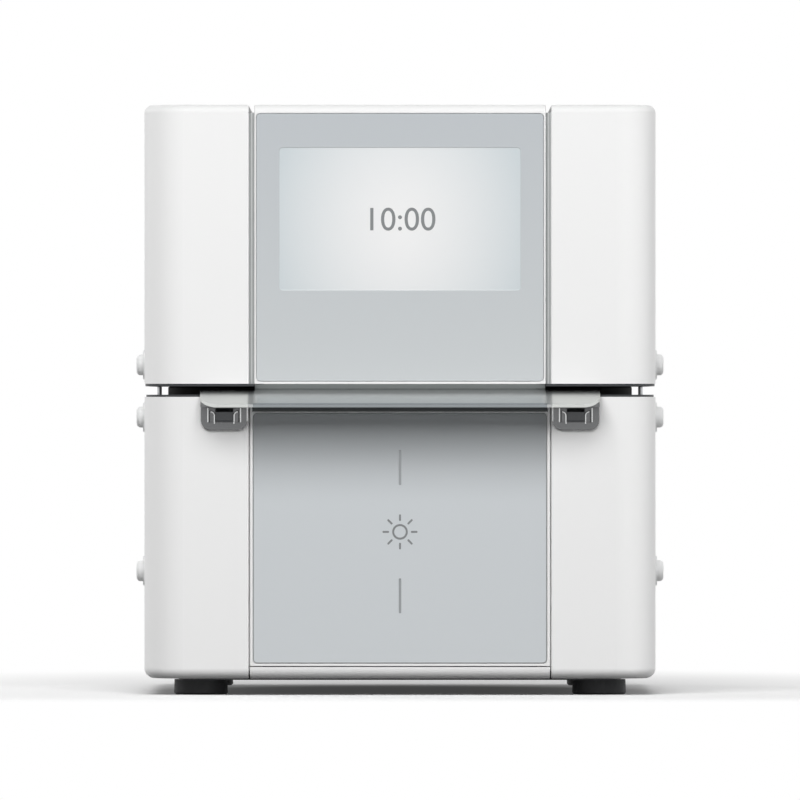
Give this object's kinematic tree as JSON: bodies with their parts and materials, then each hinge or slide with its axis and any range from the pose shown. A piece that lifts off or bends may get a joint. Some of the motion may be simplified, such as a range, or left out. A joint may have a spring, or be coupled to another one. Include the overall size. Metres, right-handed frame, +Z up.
{
  "type": "dental lab light curing unit",
  "caption": "Benchtop dental light curing unit: a base and a rear-hinged lid close round a mirrored chamber, with a bent front handle, latch keepers and fan-cooled light boards.",
  "frame": {"origin": "centre of the whole footprint, on the table under the feet", "axes": "+Z up, front face towards -Y, +X to the right of someone facing the front"},
  "size_m": [0.3388, 0.3957, 0.378],
  "materials": {
    "white_plastic": "smooth white moulded plastic",
    "front_glass": "glass back-printed grey round a clear display window",
    "grey_panel": "satin grey panel",
    "dark_plate": "dark powder coat",
    "handle_metal": "satin metal",
    "latch_metal": "dark grey satin paint",
    "black_rubber": "matte",
    "mirror_metal": "polished reflector",
    "clear_glass": "clear",
    "rear_metal": "light grey powder coat",
    "steel": "zinc plated",
    "aluminium": "extruded",
    "black_plastic": "moulded",
    "circuit_board": "solder mask"
  },
  "bodies": {
    "base": {"base_deck": "dark_plate", "base_fan_frame": "black_plastic", "base_front_frame": "white_plastic", "base_front_panel": "grey_panel", "base_front_sill": "white_plastic", "base_heat_sink": "aluminium", "base_hinge_left": "steel", "base_hinge_right": "steel", "base_led_board": "circuit_board", "base_plate": "dark_plate", "base_rear_panel": "rear_metal", "base_rear_screws": "steel", "base_shell_left": "white_plastic", "base_shell_right": "white_plastic", "base_side_caps": "white_plastic", "catch_left": "latch_metal", "catch_right": "latch_metal", "chamber_seal": "black_rubber", "chamber_tub": "mirror_metal", "driver_board": "circuit_board", "foot_front_left": "black_rubber", "foot_front_right": "black_rubber", "foot_rear_left": "black_rubber", "foot_rear_right": "black_rubber", "hinge_pin_left": "steel", "hinge_pin_right": "steel", "interlock_switch_left": "black_plastic", "interlock_switch_right": "black_plastic", "power_inlet": "black_plastic", "power_supply": "aluminium", "switch_housing": "black_plastic", "tub_window": "clear_glass"},
    "lid": {"lid_dome": "mirror_metal", "lid_fan_frame": "black_plastic", "lid_front_cover": "white_plastic", "lid_heat_sink": "aluminium", "lid_hinge_left": "steel", "lid_hinge_right": "steel", "lid_led_board": "circuit_board", "lid_plate": "dark_plate", "lid_rear_panel": "rear_metal", "lid_rear_screws": "steel", "lid_shell_left": "white_plastic", "lid_shell_right": "white_plastic", "lid_side_caps": "white_plastic", "handle": "handle_metal", "keeper_left": "latch_metal", "keeper_right": "latch_metal", "display_glass": "front_glass", "display_module": "black_plastic", "control_board": "circuit_board", "dome_window": "clear_glass"},
    "base_fan": {"base_fan_rotor": "black_plastic"},
    "lid_fan": {"lid_fan_rotor": "black_plastic"},
    "rocker": {"power_rocker": "black_plastic"},
    "tray": {"glass_tray": "clear_glass"},
    "plunger_left": {"interlock_pin_left": "steel"},
    "plunger_right": {"interlock_pin_right": "steel"}
  },
  "joints": [
    {"name": "lid_hinge", "type": "hinge", "parent": "base", "child": "lid", "pos_m": [0, 0.19285, 0.1951], "axis": [-1, 0, 0], "range_deg": [0, 70]},
    {"name": "base_fan_spin", "type": "hinge", "parent": "base", "child": "base_fan", "pos_m": [0.04, 0.16125, 0.076], "axis": [0, 1, 0], "continuous": true},
    {"name": "lid_fan_spin", "type": "hinge", "parent": "lid", "child": "lid_fan", "pos_m": [0, 0.16125, 0.3], "axis": [0, 1, 0], "continuous": true},
    {"name": "power_rocker_tilt", "type": "hinge", "parent": "base", "child": "rocker", "pos_m": [-0.052, 0.18705, 0.088], "axis": [-1, 0, 0], "range_deg": [0, 16]},
    {"name": "glass_tray_lift", "type": "slide", "parent": "base", "child": "tray", "axis": [0, 0, 1], "range_m": [0, 0.06]},
    {"name": "plunger_left_rise", "type": "slide", "parent": "base", "child": "plunger_left", "axis": [0, 0, 1], "range_m": [0, 0.003]},
    {"name": "plunger_right_rise", "type": "slide", "parent": "base", "child": "plunger_right", "axis": [0, 0, 1], "range_m": [0, 0.003]}
  ],
  "couplings": [
    {"joint": "plunger_left_rise", "follows": "lid_hinge", "m_per_rad": 0.00245},
    {"joint": "plunger_right_rise", "follows": "lid_hinge", "m_per_rad": 0.00245}
  ]
}
